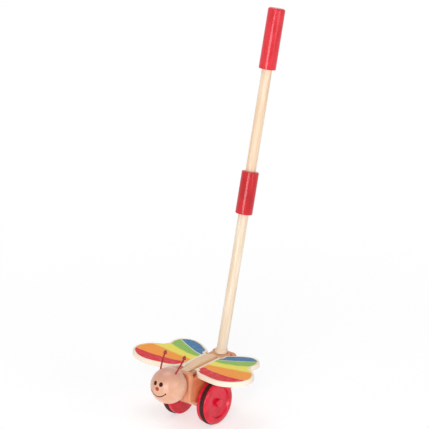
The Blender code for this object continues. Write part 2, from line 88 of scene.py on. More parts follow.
Point2 = tuple[float, float]
Point3 = tuple[float, float, float]
Colour = tuple[float, float, float, float]
Shape = bmesh.types.BMesh
Tree = bpy.types.NodeTree
Node = bpy.types.Node
Socket = bpy.types.NodeSocket
Value = Union[float, Sequence[float], Socket]
Inputs = dict[Union[str, int], Value]


class Grain(Enum):
    """Direction that the wood's fibres run in, as the turn that brings local Z onto it."""

    UPRIGHT = (0.0, 0.0, 0.0)
    ALONG_TOY = (math.radians(90), 0.0, 0.0)
    ACROSS_TOY = (0.0, math.radians(90), 0.0)
    ALONG_STICK = (math.radians(15), 0.0, 0.0)


class WingFace(IntEnum):
    """Kind of face on a wing, in the order of the wing's finishes."""

    VENEER = 0
    EDGE = 1
    PAINT = 2


def linear(hex_colour: str) -> Colour:
    """Turn an sRGB hex colour into Blender's linear one.

    Args:
        hex_colour: six hex digits after a hash.

    Returns:
        Linear red, green, blue and an alpha of 1.
    """
    channels = [int(hex_colour[start:start + 2], 16) / 255 for start in (1, 3, 5)]
    red, green, blue = (
        value / 12.92 if value <= 0.04045 else ((value + 0.055) / 1.055) ** 2.4 for value in channels
    )
    return red, green, blue, 1.0


def wire(tree: Tree, node: Node, inputs: Inputs) -> None:
    """Set a node's inputs, each by a value or by a link.

    Args:
        tree: the node's tree.
        node: the node.
        inputs: input socket name or index, with a value or the output socket to link.
    """
    for socket, value in inputs.items():
        if isinstance(value, Socket):
            tree.links.new(value, node.inputs[socket])
        else:
            node.inputs[socket].default_value = value


def add_node(tree: Tree, kind: str, inputs: Optional[Inputs] = None, **settings: str) -> Node:
    """Add one node with its settings, values and links.

    Args:
        tree: node tree that takes the node.
        kind: the node's type name.
        inputs: input socket name or index, with a value or the output socket to link.
        settings: attributes of the node itself.

    Returns:
        The new node.
    """
    node = tree.nodes.new(kind)
    for name, value in settings.items():
        setattr(node, name, value)
    wire(tree, node, inputs or {})
    return node


def toy_axes(tree: Tree) -> Node:
    """Split the place on a piece, in the toy's own frame, into its three axes.

    Args:
        tree: the material's node tree.

    Returns:
        A node with the outputs X, Y and Z.
    """
    coordinates = add_node(tree, "ShaderNodeTexCoord")
    return add_node(tree, "ShaderNodeSeparateXYZ", {0: coordinates.outputs["Object"]})


def scaled_noise(tree: Tree, size_mm: Point3, grain: Grain = Grain.UPRIGHT, detail: float = 2.0,
                 distortion: float = 0.0) -> Socket:
    """Noise whose spots have a real size along each axis.

    Args:
        tree: the material's node tree.
        size_mm: size of a spot across, across and along the grain, in millimetres.
        grain: direction of the grain.
        detail: how many finer layers it has.
        distortion: how far it is warped.

    Returns:
        The noise value's socket, around 0.5.
    """
    coordinates = add_node(tree, "ShaderNodeTexCoord")
    turned = add_node(
        tree, "ShaderNodeMapping",
        {"Vector": coordinates.outputs["Object"], "Rotation": grain.value}, vector_type="POINT")
    mapping = add_node(
        tree, "ShaderNodeMapping",
        {"Vector": turned.outputs["Vector"], "Scale": tuple(1 / (size * MM) for size in size_mm)},
        vector_type="POINT")
    noise = add_node(
        tree, "ShaderNodeTexNoise",
        {"Vector": mapping.outputs["Vector"], "Scale": 1.0, "Detail": detail, "Distortion": distortion})
    return noise.outputs["Fac"]


def overlay(tree: Tree, base: Union[str, Socket], over: str, pattern: Socket, band: Point2,
            shares: Point2 = (0.0, 1.0)) -> Socket:
    """Lay a second colour over a first one where a pattern rises.

    Args:
        tree: the material's node tree.
        base: hex colour or colour socket that lies below.
        over: hex colour that lies over it.
        pattern: socket of the pattern.
        band: two values of the pattern, between which the change is smooth.
        shares: share of the second colour at each of them.

    Returns:
        The colour's socket.
    """
    factor = add_node(
        tree, "ShaderNodeMapRange",
        {"Value": pattern, "From Min": band[0], "From Max": band[1],
         "To Min": shares[0], "To Max": shares[1]},
        interpolation_type="SMOOTHSTEP")
    below = base if isinstance(base, Socket) else linear(base)
    mixed = add_node(
        tree, "ShaderNodeMix", {0: factor.outputs["Result"], 6: below, 7: linear(over)},
        data_type="RGBA", blend_type="MIX")
    return mixed.outputs[2]


@dataclass(frozen=True)
class Looks:
    """What a finish gives its shader: the inputs, and a relief with its real depth."""

    inputs: Inputs
    relief: Socket
    relief_mm: float


@dataclass(frozen=True)
class Finish:
    """A finish of the toy, made as one Principled material."""

    name: str

    def make(self) -> bpy.types.Material:
        """Build the material.

        Returns:
            The material, under the finish's own name.
        """
        material = bpy.data.materials.new(self.name)
        material.use_nodes = True
        tree = material.node_tree
        looks = self._looks(tree)
        bump = add_node(
            tree, "ShaderNodeBump",
            {"Height": looks.relief, "Distance": looks.relief_mm * MM, "Strength": 1.0})
        wire(tree, tree.nodes["Principled BSDF"], {**looks.inputs, "Normal": bump.outputs["Normal"]})
        return material

    def _looks(self, tree: Tree) -> Looks:
        """Lay out the patterns, which each finish does in its own way.

        Args:
            tree: the material's node tree.

        Returns:
            What the shader gets.
        """
        raise NotImplementedError


@dataclass(frozen=True)
class Beech(Finish):
    """European beech, sanded and sealed with a clear satin lacquer.

    Straight fibres with short dark rays give the eye fine dashes along the grain, over slow bands
    of pink and straw where the year rings run. A painted shade darkens it towards the top, between
    two heights if they are given. Fibres and rays are drawn a few times as coarse as real ones, so that they
    show.
    """

    light: str = "#edc7a3"
    dark: str = "#d9a57c"
    ray: str = "#b87f58"
    grain: Grain = Grain.ALONG_TOY
    ray_share: float = 0.35
    ring_mm: float = 3.2
    roughness: float = 0.46
    coat: float = 0.25
    # Painted shade on the top: its colour, how strongly it covers, and the heights where it sets in.
    painted_top_shade: str = "#cd9076"
    painted_top_shade_share: float = 0.9
    painted_top_shade_heights: Optional[Point2] = None
    fibre_mm: Point3 = (0.45, 0.6, 14)
    ray_mm: Point3 = (0.5, 0.9, 3.2)

    def _looks(self, tree: Tree) -> Looks:
        """Lay rings, fibres, rays and a painted shade that darkens the top.

        Args:
            tree: the material's node tree.

        Returns:
            What the shader gets.
        """
        rings = scaled_noise(tree, (self.ring_mm, self.ring_mm * 2.5, 60), self.grain, 3.0, 0.6)
        fibres = scaled_noise(tree, self.fibre_mm, self.grain)
        rays = scaled_noise(tree, self.ray_mm, self.grain, 0.0)
        tone = overlay(tree, self.light, self.dark, rings, (0.32, 0.68))
        tone = overlay(tree, tone, self.dark, fibres, (0.35, 0.75), (0.0, 0.3))
        tone = overlay(tree, tone, self.ray, rays, (0.62, 0.74), (0.0, self.ray_share))
        # Painted shade: darker towards the top, between the two heights.
        if self.painted_top_shade_heights:
            height = toy_axes(tree).outputs["Z"]
            tone = overlay(tree, tone, self.painted_top_shade, height, self.painted_top_shade_heights, (0.0, self.painted_top_shade_share))
        sheen = add_node(
            tree, "ShaderNodeMapRange",
            {"Value": fibres, "From Min": 0.3, "From Max": 0.7,
             "To Min": self.roughness - 0.05, "To Max": self.roughness + 0.07},
            interpolation_type="SMOOTHSTEP")
        inputs = {
            "Base Color": tone, "Roughness": sheen.outputs["Result"],
            "Coat Weight": self.coat, "Coat Roughness": 0.28,
        }
        return Looks(inputs, fibres, 0.03)


@dataclass(frozen=True)
class BirchVeneer(Finish):
    """Face veneer of birch plywood, sanded: pale cream with faint wavy fibres, drawn coarse to show."""

    light: str = "#fbeed8"
    dark: str = "#efd8b4"
    grain: Grain = Grain.ACROSS_TOY
    wave_mm: Point3 = (4.0, 6.0, 55)
    fibre_mm: Point3 = (0.5, 0.5, 12)

    def _looks(self, tree: Tree) -> Looks:
        """Lay slow waves and fibres.

        Args:
            tree: the material's node tree.

        Returns:
            What the shader gets.
        """
        waves = scaled_noise(tree, self.wave_mm, self.grain, 3.0, 0.9)
        fibres = scaled_noise(tree, self.fibre_mm, self.grain)
        tone = overlay(tree, self.light, self.dark, waves, (0.35, 0.7))
        tone = overlay(tree, tone, self.dark, fibres, (0.4, 0.8), (0.0, 0.35))
        inputs = {"Base Color": tone, "Roughness": 0.5, "Coat Weight": 0.15, "Coat Roughness": 0.35}
        return Looks(inputs, fibres, 0.03)


@dataclass(frozen=True)
class PlyEdge(Finish):
    """Sawn and sanded edge of plywood: layers that show long grain and end grain in turn.

    The layers rise with the wing, which leans up from its hinge by the given slope.
    """

    mid_height: float
    hinge_out: float
    slope: float
    ply_mm: float = 1.4
    pore_mm: Point3 = (0.5, 0.5, 0.5)
    long_grain: str = "#fff2e0"
    end_grain: str = "#f5e2c8"
    pore: str = "#dfc39c"

    def _looks(self, tree: Tree) -> Looks:
        """Lay the plies by their height above the wing's middle, and open pores.

        Args:
            tree: the material's node tree.

        Returns:
            What the shader gets.
        """
        axes = toy_axes(tree)
        out = add_node(tree, "ShaderNodeMath", {0: axes.outputs["X"]}, operation="ABSOLUTE")
        rise = add_node(
            tree, "ShaderNodeMath", {0: out.outputs[0], 1: self.slope, 2: -self.slope * self.hinge_out},
            operation="MULTIPLY_ADD")
        above = add_node(
            tree, "ShaderNodeMath", {0: axes.outputs["Z"], 1: rise.outputs[0]}, operation="SUBTRACT")
        pace = math.pi / (self.ply_mm * MM)
        layer = add_node(
            tree, "ShaderNodeMath", {0: above.outputs[0], 1: pace, 2: -self.mid_height * pace},
            operation="MULTIPLY_ADD")
        wave = add_node(tree, "ShaderNodeMath", {0: layer.outputs[0]}, operation="COSINE")
        pores = scaled_noise(tree, self.pore_mm)
        tone = overlay(tree, self.long_grain, self.end_grain, wave.outputs[0], (-0.35, 0.35), (0.8, 0.0))
        tone = overlay(tree, tone, self.pore, pores, (0.5, 0.8), (0.0, 0.2))
        return Looks({"Base Color": tone, "Roughness": 0.55}, pores, 0.02)


@dataclass(frozen=True)
class GlossLacquer(Finish):
    """Sprayed gloss enamel on turned beech: an even colour under a clear hard coat.

    The wood's fibres telegraph through as faint lines, which break up the light on the gloss.
    """

    colour: str = "#dd2f3f"
    deep: str = "#c81f30"
    grain: Grain = Grain.ACROSS_TOY
    coat_roughness: float = 0.06
    patch_mm: Point3 = (9.0, 9.0, 26.0)
    fibre_mm: Point3 = (0.7, 0.7, 18.0)

    def _looks(self, tree: Tree) -> Looks:
        """Lay slow patches of colour and the fibres below the coat.

        Args:
            tree: the material's node tree.

        Returns:
            What the shader gets.
        """
        patches = scaled_noise(tree, self.patch_mm, self.grain)
        fibres = scaled_noise(tree, self.fibre_mm, self.grain)
        inputs = {
            "Base Color": overlay(tree, self.colour, self.deep, patches, (0.35, 0.7)),
            "Roughness": 0.4, "Specular IOR Level": 0.0,
            "Coat Weight": 0.85, "Coat Roughness": self.coat_roughness,
        }
        return Looks(inputs, fibres, 0.02)


@dataclass(frozen=True)
class Rubber(Finish):
    """Soft rubber, matt with a fine bloom: near black with a brown cast for the tyres, tan for gum tube."""

    colour: str = "#36120d"
    bloom: str = "#50231b"
    speck_mm: Point3 = (0.6, 0.6, 0.6)
    haze_mm: Point3 = (7.0, 7.0, 7.0)

    def _looks(self, tree: Tree) -> Looks:
        """Lay the bloom as a slow haze, with fine specks.

        Args:
            tree: the material's node tree.

        Returns:
            What the shader gets.
        """
        specks = scaled_noise(tree, self.speck_mm)
        haze = scaled_noise(tree, self.haze_mm)
        tone = overlay(tree, self.colour, self.bloom, haze, (0.4, 0.75), (0.0, 0.5))
        return Looks({"Base Color": tone, "Roughness": 0.62, "Specular IOR Level": 0.3}, specks, 0.05)


@dataclass(frozen=True)
class DrawnSteel(Finish):
    """Drawn mild steel rod: bright grey with fine lines along its length, drawn coarse to show."""

    grain: Grain = Grain.ALONG_TOY
    bright: str = "#c9cacb"
    dull: str = "#a7a9ab"
    line_mm: Point3 = (0.25, 0.25, 20.0)

    def _looks(self, tree: Tree) -> Looks:
        """Lay the lines that the die leaves.

        Args:
            tree: the material's node tree.

        Returns:
            What the shader gets.
        """
        lines = scaled_noise(tree, self.line_mm, self.grain)
        sheen = add_node(
            tree, "ShaderNodeMapRange",
            {"Value": lines, "From Min": 0.3, "From Max": 0.7, "To Min": 0.24, "To Max": 0.38},
            interpolation_type="SMOOTHSTEP")
        inputs = {
            "Base Color": overlay(tree, self.bright, self.dull, lines, (0.35, 0.7)),
            "Roughness": sheen.outputs["Result"], "Metallic": 1.0,
        }
        return Looks(inputs, lines, 0.01)


@dataclass(frozen=True)
class Nylon(Finish):
    """Moulded nylon: milky white with a soft satin skin."""

    milky: str = "#efece4"
    cloud: str = "#e2ded3"
    haze_mm: Point3 = (2.0, 2.0, 2.0)

    def _looks(self, tree: Tree) -> Looks:
        """Lay faint clouds.

        Args:
            tree: the material's node tree.

        Returns:
            What the shader gets.
        """
        haze = scaled_noise(tree, self.haze_mm)
        tone = overlay(tree, self.milky, self.cloud, haze, (0.4, 0.7))
        return Looks({"Base Color": tone, "Roughness": 0.42}, haze, 0.02)


@dataclass(frozen=True)
class PrintedInk(Finish):
    """Pad-printed ink on wood: flat and nearly matt, a little uneven where it soaks in."""

    colour: str
    thin: str
    soak_mm: Point3 = (0.7, 0.7, 1.4)

    def _looks(self, tree: Tree) -> Looks:
        """Lay the places where the ink is thin.

        Args:
            tree: the material's node tree.

        Returns:
            What the shader gets.
        """
        soak = scaled_noise(tree, self.soak_mm, detail=3.0)
        tone = overlay(tree, self.colour, self.thin, soak, (0.45, 0.85), (0.0, 0.6))
        return Looks({"Base Color": tone, "Roughness": 0.4, "Specular IOR Level": 0.15}, soak, 0.01)


@dataclass(frozen=True)
class RainbowPaint(Finish):
    """Screen-printed rainbow bands on the veneer, each a little cloudy and soft at its edge.

    A band ends along a line that is given as shares: how far out on the wing, and how far from the
    front of the painted field to its back. Orange, yellow and green run into each other in brush
    strokes, and the paint frays out towards the wing's root.
    """

    hinge_out: float
    reach: float
    field_front: float
    field_rear: float
    red: str = "#e02233"
    orange: str = "#ff9f38"
    yellow: str = "#f6e75e"
    green: str = "#90c056"
    white: str = "#f4f6ea"
    blue: str = "#437ba8"
    veneer: str = "#f8e8c9"
    cloud: str = "#fff4dc"
    root_share: float = 0.035
    fray_share: float = 0.03
    white_line_mm: float = 1.1
    wobble_reach_mm: float = 0.8
    stroke_reach_mm: float = 5.0
    wobble_mm: Point3 = (2.0, 2.0, 2.0)
    stroke_mm: Point3 = (16.0, 1.1, 16.0)
    cloud_mm: Point3 = (7.0, 3.0, 7.0)
    fibre_mm: Point3 = (0.5, 0.5, 12)
    red_edge_shares: tuple[Point2, ...] = (
        (0.0, 0.26), (0.045, 0.315), (0.09, 0.325), (0.167, 0.296), (0.25, 0.275), (0.333, 0.258),
        (0.42, 0.245), (0.5, 0.235), (0.6, 0.221), (0.75, 0.218), (0.9, 0.221), (1.0, 0.225),
    )
    orange_edge_shares: tuple[Point2, ...] = (
        (0.0, 0.45), (0.115, 0.453), (0.25, 0.456), (0.333, 0.46), (0.417, 0.467), (0.5, 0.474),
        (0.6, 0.481), (0.735, 0.492), (1.0, 0.515),
    )
    yellow_edge_shares: tuple[Point2, ...] = (
        (0.0, 0.605), (0.083, 0.59), (0.167, 0.585), (0.25, 0.591), (0.333, 0.604), (0.417, 0.617),
        (0.5, 0.64), (0.583, 0.666), (0.63, 0.68), (1.0, 0.78),
    )
    green_edge_shares: tuple[Point2, ...] = (
        (0.0, 0.665), (0.083, 0.682), (0.167, 0.702), (0.25, 0.73), (0.333, 0.761), (0.417, 0.795),
        (0.5, 0.831), (0.583, 0.868), (0.65, 0.897), (1.0, 1.0),
    )

    def _looks(self, tree: Tree) -> Looks:
        """Lay the bands from front to back, then clouds and the bare root.

        Args:
            tree: the material's node tree.

        Returns:
            What the shader gets.
        """
        length_mm = (self.field_rear - self.field_front) / MM
        axes = toy_axes(tree)
        out = add_node(tree, "ShaderNodeMath", {0: axes.outputs["X"]}, operation="ABSOLUTE")
        out_share = add_node(
            tree, "ShaderNodeMapRange",
            {"Value": out.outputs[0], "From Min": self.hinge_out, "From Max": self.hinge_out + self.reach})
        along_share = add_node(
            tree, "ShaderNodeMapRange",
            {"Value": axes.outputs["Y"], "From Min": self.field_front, "From Max": self.field_rear})
        wobble = scaled_noise(tree, self.wobble_mm, detail=3.0)
        strokes = scaled_noise(tree, self.stroke_mm, detail=3.0)
        clouds = scaled_noise(tree, self.cloud_mm, detail=4.0)
        fibres = scaled_noise(tree, self.fibre_mm, Grain.ACROSS_TOY)
        crisp = add_node(
            tree, "ShaderNodeMath",
            {0: wobble, 1: self.wobble_reach_mm / length_mm, 2: along_share.outputs["Result"]},
            operation="MULTIPLY_ADD")
        stroked = add_node(
            tree, "ShaderNodeMath", {0: strokes, 1: self.stroke_reach_mm / length_mm, 2: crisp.outputs[0]},
            operation="MULTIPLY_ADD")
        brushed = add_node(
            tree, "ShaderNodeMath", {0: stroked.outputs[0], 1: self.stroke_reach_mm / 2 / length_mm},
            operation="SUBTRACT")

        tone = self.red
        half_line_mm = self.white_line_mm / 2
        for shares, colour, soft_mm, shift_mm, place in (
            (self.red_edge_shares, self.orange, 0.35, 0.0, crisp),
            (self.orange_edge_shares, self.yellow, 2.2, 0.0, brushed),
            (self.yellow_edge_shares, self.green, 2.0, 0.0, brushed),
            (self.green_edge_shares, self.white, 0.25, -half_line_mm, crisp),
            (self.green_edge_shares, self.blue, 0.25, half_line_mm, crisp),
        ):
            edge = self._edge(tree, out_share.outputs["Result"], shares)
            past = add_node(tree, "ShaderNodeMath", {0: place.outputs[0], 1: edge}, operation="SUBTRACT")
            band = ((shift_mm - soft_mm) / length_mm, (shift_mm + soft_mm) / length_mm)
            tone = overlay(tree, tone, colour, past.outputs[0], band)
        tone = overlay(tree, tone, self.cloud, clouds, (0.4, 0.85), (0.0, 0.14))
        frayed = add_node(
            tree, "ShaderNodeMath", {0: strokes, 1: self.fray_share, 2: out_share.outputs["Result"]},
            operation="MULTIPLY_ADD")
        root_band = (self.root_share, self.root_share + self.fray_share)
        tone = overlay(tree, tone, self.veneer, frayed.outputs[0], root_band, (1.0, 0.0))
        return Looks({"Base Color": tone, "Roughness": 0.5, "Specular IOR Level": 0.22}, fibres, 0.02)

    @staticmethod
    def _edge(tree: Tree, out: Socket, shares: Sequence[Point2]) -> Socket:
        """Draw a band's edge as a curve.

        Args:
            tree: the material's node tree.
            out: how far out on the wing, from 0 to 1.
            shares: the points that the edge runs through.

        Returns:
            The edge's place from front to back, from 0 to 1.
        """
        node = add_node(tree, "ShaderNodeFloatCurve", {"Value": out})
        curve = node.mapping.curves[0]
        curve.points[0].location = shares[0]
        curve.points[1].location = shares[-1]
        for place in shares[1:-1]:
            curve.points.new(*place)
        node.mapping.update()
        return node.outputs["Value"]


@dataclass(frozen=True)
class Span:
    """Where a turned piece lies along its axis, and how wide it is."""

    start: float
    end: float
    radius: float
    bore: float


def arc(centre: Point2, radius: float, start: float, end: float, steps: int) -> list[Point2]:
    """Points of a round edge in a profile.

    Args:
        centre: radius and height of the arc's centre.
        radius: the arc's own radius.
        start: first angle in degrees.
        end: last angle in degrees.
        steps: number of stretches.

    Returns:
        The points, both ends included.
    """
    points = []
    for step in range(steps + 1):
        angle = math.radians(start + (end - start) * step / steps)
        points.append((centre[0] + radius * math.cos(angle), centre[1] + radius * math.sin(angle)))
    return points


def smooth_path(points: Sequence[Point2], steps: int) -> list[Point2]:
    """A smooth curve through the points.

    Args:
        points: places that it passes, in order.
        steps: number of stretches between each pair.

    Returns:
        The curve's points, both ends included.
    """
    padded = [points[0], *points, points[-1]]
    path = []
    for before, start, end, after in zip(padded, padded[1:], padded[2:], padded[3:]):
        for step in range(steps):
            share = step / steps
            path.append(tuple(
                0.5 * (
                    2 * b + (c - a) * share + (2 * a - 5 * b + 4 * c - d) * share ** 2
                    + (3 * b - a - 3 * c + d) * share ** 3
                )
                for a, b, c, d in zip(before, start, end, after)
            ))
    path.append(points[-1])
    return path


def spin_profile(profile: Sequence[Point2], facets: int, ring: bool) -> Shape:
    """Spin (radius, height) points about Z.

    Args:
        profile: points of the outline.
        facets: number of facets round the axis.
        ring: whether the outline closes on itself, round a bore.

    Returns:
        A closed shape with its faces pointing out.
    """
    shape = bmesh.new()
    places = [shape.verts.new((radius, 0, height)) for radius, height in profile]
    pairs = list(zip(places, places[1:]))
    if ring:
        pairs.append((places[-1], places[0]))
    edges = [shape.edges.new(pair) for pair in pairs]
    bmesh.ops.spin(
        shape, geom=places + edges, cent=(0, 0, 0), axis=UP, dvec=(0, 0, 0), angle=math.tau,
        steps=facets, use_merge=True)
    bmesh.ops.remove_doubles(shape, verts=shape.verts, dist=MERGE_DISTANCE)
    bmesh.ops.recalc_face_normals(shape, faces=shape.faces)
    return shape


def facing(origin: Vector, axis: Vector) -> Matrix:
    """Matrix that puts local Z along an axis, with its zero at the origin."""
    return Matrix.Translation(origin) @ UP.rotation_difference(axis).to_matrix().to_4x4()


def mesh_of(name: str, shape: Shape) -> bpy.types.Mesh:
    """Turn a shape into a mesh.

    Args:
        name: name of the mesh.
        shape: the shape, which is used up.

    Returns:
        The new mesh.
    """
    mesh = bpy.data.meshes.new(name)
    shape.to_mesh(mesh)
    shape.free()
    return mesh


def stand(name: str, data: bpy.types.ID) -> bpy.types.Object:
    """Stand a mesh, a lamp or a camera in the scene.

    Args:
        name: name of the new object.
        data: what the object shows.

    Returns:
        The new object.
    """
    item = bpy.data.objects.new(name, data)
    bpy.context.scene.collection.objects.link(item)
    return item


@dataclass
class Workshop:
    """Holds the frame and the finishes, and turns shapes into pieces of the toy."""

    frame: dict
    finishes: dict[str, bpy.types.Material] = field(default_factory=dict)

    def node(self, name: str) -> bpy.types.Object:
        """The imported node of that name."""
        return self.frame["nodes"][name]

    def mount(self, name: str) -> tuple[Vector, Vector]:
        """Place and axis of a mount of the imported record."""
        found = next(mount for mount in self.frame["record"]["mounts"] if mount["name"] == name)
        return Vector(found["pos_m"]), Vector(found["axis"]).normalized()

    def joint_place(self, name: str) -> Vector:
        """A point on a joint's axis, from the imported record."""
        found = next(joint for joint in self.frame["joints"] if joint["name"] == name)
        return Vector(found["pos_m"])

    def body_of(self, node: str) -> str:
        """Name of the body that a node belongs to."""
        return self.node(node)["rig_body"]

    def add_finishes(self, finishes: Iterable[Finish]) -> None:
        """Make each finish once, under its own name."""
        for finish in finishes:
            self.finishes[finish.name] = finish.make()

    def publish(self, shape: Shape, name: str, node: str, finishes: Sequence[str],
                place: Matrix = IN_PLACE, replaces: bool = True, sharp: float = 35) -> bpy.types.Object:
        """Make a shape a visible piece that rides with its node's body.

        Args:
            shape: the shape, which is used up.
            name: name of the new piece.
            node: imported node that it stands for, or that it sits on.
            finishes: names of its finishes, by material index.
            place: where the shape goes.
            replaces: whether the node is hidden behind the piece.
            sharp: least angle of a hard edge, in degrees.

        Returns:
            The new object.
        """
        shape.transform(place)
        mesh = mesh_of(name, shape)
        mesh.shade_smooth()
        mesh.set_sharp_from_angle(angle=math.radians(sharp))
        for finish in finishes:
            mesh.materials.append(self.finishes[finish])
        piece = stand(name, mesh)
        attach(piece, self.body_of(node))
        if replaces:
            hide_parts(node)
        LOG.info("%s stands for %s with %d faces", name, node, len(mesh.polygons))
        return piece

    @staticmethod
    def drill(blank: Shape, bit: Shape) -> Shape:
        """Take one closed shape out of another.

        Args:
            blank: the shape that is cut, which is used up.
            bit: the shape of the hole, which is used up.

        Returns:
            What is left of the blank.
        """
        pieces = [stand(name, mesh_of(name, shape)) for name, shape in (("blank", blank), ("bit", bit))]
        cut = pieces[0].modifiers.new("hole", "BOOLEAN")
        cut.operation = "DIFFERENCE"
        cut.solver = "EXACT"
        cut.object = pieces[1]
        drilled = bmesh.new()
        drilled.from_object(pieces[0], bpy.context.evaluated_depsgraph_get())
        for piece in pieces:
            mesh = piece.data
            bpy.data.objects.remove(piece)
            bpy.data.meshes.remove(mesh)
        return drilled

    @staticmethod
    def even_shading(piece: bpy.types.Object) -> None:
        """Let a piece's large faces lead its shading, so that they look flat beside eased edges."""
        normals = piece.modifiers.new("even_faces", "WEIGHTED_NORMAL")
        normals.keep_sharp = True

    def dress_copy(self, node: str, finish: str, sharp: float = 50, grow: float = 0.0) -> None:
        """Stand a merged, smooth-shaded copy of a sawn node in its place.

        Args:
            node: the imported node.
            finish: name of its finish.
            sharp: least angle of a hard edge, in degrees.
            grow: thickness of the coat that lies over the node's faces.
        """
        shape = bmesh.new()
        shape.from_mesh(self.node(node).data)
        bmesh.ops.remove_doubles(shape, verts=shape.verts, dist=MERGE_DISTANCE)
        if grow:
            shape.normal_update()
            for vertex, step in [(vertex, vertex.normal * grow) for vertex in shape.verts]:
                vertex.co += step
        bmesh.ops.dissolve_limit(
            shape, angle_limit=math.radians(0.5), verts=shape.verts, edges=shape.edges)
        bmesh.ops.recalc_face_normals(shape, faces=shape.faces)
        for layer in list(shape.loops.layers.uv):
            shape.loops.layers.uv.remove(layer)
        self.even_shading(self.publish(shape, node + "_finished", node, [finish], sharp=sharp))

    def dress_node(self, node: str, finish: str) -> None:
        """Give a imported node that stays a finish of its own.

        Args:
            node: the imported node.
            finish: name of its finish.
        """
        target = self.node(node)
        target.data.materials.clear()
        target.data.materials.append(self.finishes[finish])
        LOG.info("%s keeps its shape", node)


@dataclass
class Lathe:
    """Measures and turns the pieces that lie round one axis. Distances run along it from its origin."""

    shop: Workshop
    origin: Vector
    axis: Vector
    facets: int

    def measure(self, node: str) -> Span:
        """Measure a node round the axis.

        Args:
            node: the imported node.

        Returns:
            Its ends along the axis, its greatest radius and its least one.
        """
        places = [vertex.co - self.origin for vertex in self.shop.node(node).data.vertices]
        heights = [place.dot(self.axis) for place in places]
        radii = [(place - self.axis * height).length for place, height in zip(places, heights)]
        return Span(min(heights), max(heights), max(radii), min(radii))

    def turn(self, profile: Sequence[Point2], node: str, finish: str, ring: bool = False) -> None:
        """Turn a piece from its profile and stand it in its node's place.

        Args:
            profile: (radius, distance along the axis) points.
            node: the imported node.
            finish: name of its finish.
            ring: whether it has a bore right through.
        """
        shape = spin_profile(profile, self.facets, ring)
        self.shop.publish(shape, node + "_finished", node, [finish], facing(self.origin, self.axis))

    def turn_eased(self, node: str, finish: str, ease: float, steps: int, ring: bool = True) -> None:
        """Turn a plain ring or rod with its two outer edges eased.

        Args:
            node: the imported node.
            finish: name of its finish.
            ease: radius of the two edges.
            steps: number of stretches round each edge.
            ring: whether it has a bore right through.
        """
        span = self.measure(node)
        inner = span.bore if ring else 0.0
        low_edge = arc((span.radius - ease, span.start + ease), ease, -90, 0, steps)
        high_edge = arc((span.radius - ease, span.end - ease), ease, 0, 90, steps)
        self.turn([(inner, span.start), *low_edge, *high_edge, (inner, span.end)], node, finish, ring)


@dataclass
class Body:
    """The glued blocks, end plates, hidden dowels, spacers and rods."""

    shop: Workshop
    rod_facets: int = 32
    spacer_facets: int = 40
    spacer_ease: float = 0.3 * MM
    # End plates and side blocks are beech tinted red-orange: a painted reflection of the red wheels.
    blocks: tuple[tuple[str, str], ...] = (
        ("spine", "spine_beech"), ("side_block_left", "side_beech"), ("side_block_right", "side_beech"),
        ("stick_block", "block_beech"), ("front_plate", "plate_beech"), ("rear_plate", "plate_beech"),
    )
    hidden: tuple[str, ...] = (
        "cross_dowel_front", "cross_dowel_rear", "front_dowel_left", "front_dowel_right",
        "rear_dowel_left", "rear_dowel_right", "head_dowel",
    )
    spacers: tuple[tuple[str, str], ...] = (("front", "spacer_gum_rubber"), ("rear", "block_beech"))

    def build(self) -> None:
        """Dress every fixed piece of the body."""
        for node, finish in self.blocks:
            self.shop.dress_copy(node, finish)
        for node in self.hidden:
            self.shop.dress_node(node, "block_beech")
        for side, _ in SIDES:
            self._build_hinge(side)

    def _build_hinge(self, side: str) -> None:
        """Turn one hinge rod and its two spacers.

        Args:
            side: left or right.
        """
        hinge = self.shop.joint_place(f"wing_{side}_flap")
        rod = f"hinge_rod_{side}"
        rod_lathe = Lathe(self.shop, hinge, ALONG, self.rod_facets)
        span = rod_lathe.measure(rod)
        profile = [(0.0, span.start), (span.radius, span.start), (span.radius, span.end), (0.0, span.end)]
        rod_lathe.turn(profile, rod, "rod_steel")
        spacer_lathe = Lathe(self.shop, hinge, ALONG, self.spacer_facets)
        for end, finish in self.spacers:
            spacer = f"hinge_spacer_{end}_{side}"
            spacer_lathe.turn_eased(spacer, finish, self.spacer_ease, SMALL_EASE_STEPS)


